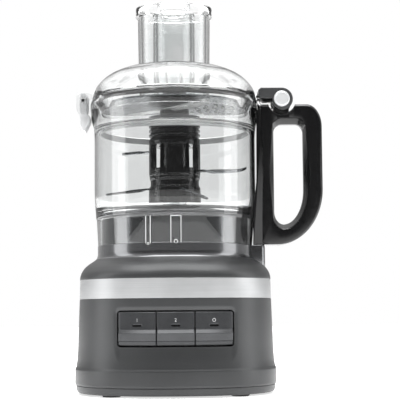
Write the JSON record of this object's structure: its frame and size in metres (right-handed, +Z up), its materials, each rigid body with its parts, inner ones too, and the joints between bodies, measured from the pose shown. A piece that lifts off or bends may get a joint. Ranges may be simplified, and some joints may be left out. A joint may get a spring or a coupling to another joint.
{
  "type": "food processor",
  "caption": "Food processor with a grey base and paddle keys, a clear bowl with a D handle, a hinged lid with nested pushers in its feed tube, and a blade and disc on one stem.",
  "frame": {"origin": "on the table, under the middle of the whole machine's box", "axes": "+Z up, the longest extent; keys face -Y; handle and lid hinge towards +X; latch towards -X"},
  "size_m": [0.253, 0.208, 0.4103],
  "materials": {
    "grey_paint": "satin",
    "brushed_band": "brushed",
    "black_plastic": "satin",
    "dark_plastic": "satin",
    "clear_plastic": "polished clear moulding",
    "silver_plastic": "satin silver",
    "rubber": "matt",
    "steel": "polished",
    "blade_steel": "ground",
    "lamination_steel": "rolled",
    "copper_wire": "enamelled",
    "cast_aluminium": "as cast",
    "circuit_board": "lacquered"
  },
  "bodies": {
    "base": {"base_screw_1": "steel", "base_screw_2": "steel", "base_screw_3": "steel", "base_screw_4": "steel", "base_shell": "grey_paint", "bottom_cover": "dark_plastic", "brush_holder_front": "black_plastic", "brush_holder_rear": "black_plastic", "chassis": "cast_aluminium", "control_board": "circuit_board", "cord_inlet": "black_plastic", "drive_belt": "rubber", "field_winding_left": "copper_wire", "field_winding_right": "copper_wire", "foot_1": "rubber", "foot_2": "rubber", "foot_3": "rubber", "foot_4": "rubber", "interlock_switch": "black_plastic", "key_switch_1": "black_plastic", "key_switch_2": "black_plastic", "key_switch_pulse": "black_plastic", "motor_stator": "lamination_steel", "spindle_bearing_lower": "steel", "spindle_bearing_upper": "steel", "top_cover": "grey_paint", "trim_band": "brushed_band"},
    "key_1": {"paddle_key_1": "dark_plastic"},
    "key_2": {"paddle_key_2": "dark_plastic"},
    "key_pulse": {"paddle_key_pulse": "dark_plastic"},
    "spindle": {"spindle": "steel", "spindle_pulley": "black_plastic"},
    "rotor": {"rotor_shaft": "steel", "armature": "lamination_steel", "commutator": "copper_wire", "cooling_fan": "black_plastic", "motor_pulley": "steel"},
    "bowl": {"bowl": "clear_plastic", "handle_grip": "black_plastic", "handle_screw_1": "steel", "handle_screw_2": "steel"},
    "lid": {"lid": "clear_plastic", "lid_seal": "rubber", "hinge_arm": "dark_plastic", "hinge_pin": "steel", "latch_pin": "steel"},
    "latch": {"latch_lever": "silver_plastic"},
    "large_pusher": {"large_pusher": "clear_plastic"},
    "small_pusher": {"small_pusher": "clear_plastic"},
    "blades": {"drive_stem": "black_plastic", "blade_hub": "black_plastic", "blade_lower_left": "blade_steel", "blade_lower_front": "blade_steel", "blade_upper_right": "blade_steel", "blade_upper_left": "blade_steel", "disc_plate": "blade_steel", "disc_hub": "black_plastic"}
  },
  "joints": [
    {"name": "bowl_lift", "type": "slide", "parent": "base", "child": "bowl", "axis": [0, 0, 1], "range_m": [0, 0.11]},
    {"name": "lid_hinge", "type": "hinge", "parent": "bowl", "child": "lid", "pos_m": [0.08535, 0, 0.2985], "axis": [0, 1, 0], "range_deg": [0, 95]},
    {"name": "latch_swing", "type": "hinge", "parent": "lid", "child": "latch", "pos_m": [-0.11835, 0, 0.2975], "axis": [0, 1, 0], "range_deg": [0, 32], "stiffness_Nm_per_rad": 0.3},
    {"name": "large_pusher_slide", "type": "slide", "parent": "lid", "child": "large_pusher", "axis": [0, 0, 1], "range_m": [0, 0.1]},
    {"name": "small_pusher_slide", "type": "slide", "parent": "large_pusher", "child": "small_pusher", "axis": [0, 0, 1], "range_m": [0, 0.1]},
    {"name": "spindle_spin", "type": "hinge", "parent": "base", "child": "spindle", "pos_m": [-0.02485, 0, 0.02], "axis": [0, 0, 1], "continuous": true},
    {"name": "rotor_spin", "type": "hinge", "parent": "base", "child": "rotor", "pos_m": [-0.02485, 0.05, 0.06], "axis": [0, 0, 1], "continuous": true},
    {"name": "blade_spin", "type": "hinge", "parent": "bowl", "child": "blades", "pos_m": [-0.02485, 0, 0.2], "axis": [0, 0, 1], "continuous": true},
    {"name": "key_1_press", "type": "hinge", "parent": "base", "child": "key_1", "pos_m": [-0.02485, -0.09, 0.079], "axis": [1, 0, 0], "range_deg": [0, 3.5], "stiffness_Nm_per_rad": 1.2},
    {"name": "key_2_press", "type": "hinge", "parent": "base", "child": "key_2", "pos_m": [-0.02485, -0.09, 0.079], "axis": [1, 0, 0], "range_deg": [0, 3.5], "stiffness_Nm_per_rad": 1.2},
    {"name": "key_pulse_press", "type": "hinge", "parent": "base", "child": "key_pulse", "pos_m": [-0.02485, -0.09, 0.079], "axis": [1, 0, 0], "range_deg": [0, 3.5], "stiffness_Nm_per_rad": 1.2}
  ],
  "couplings": [
    {"joint": "spindle_spin", "follows": "rotor_spin", "ratio": 0.26471},
    {"joint": "blade_spin", "follows": "rotor_spin", "ratio": 0.26471}
  ]
}
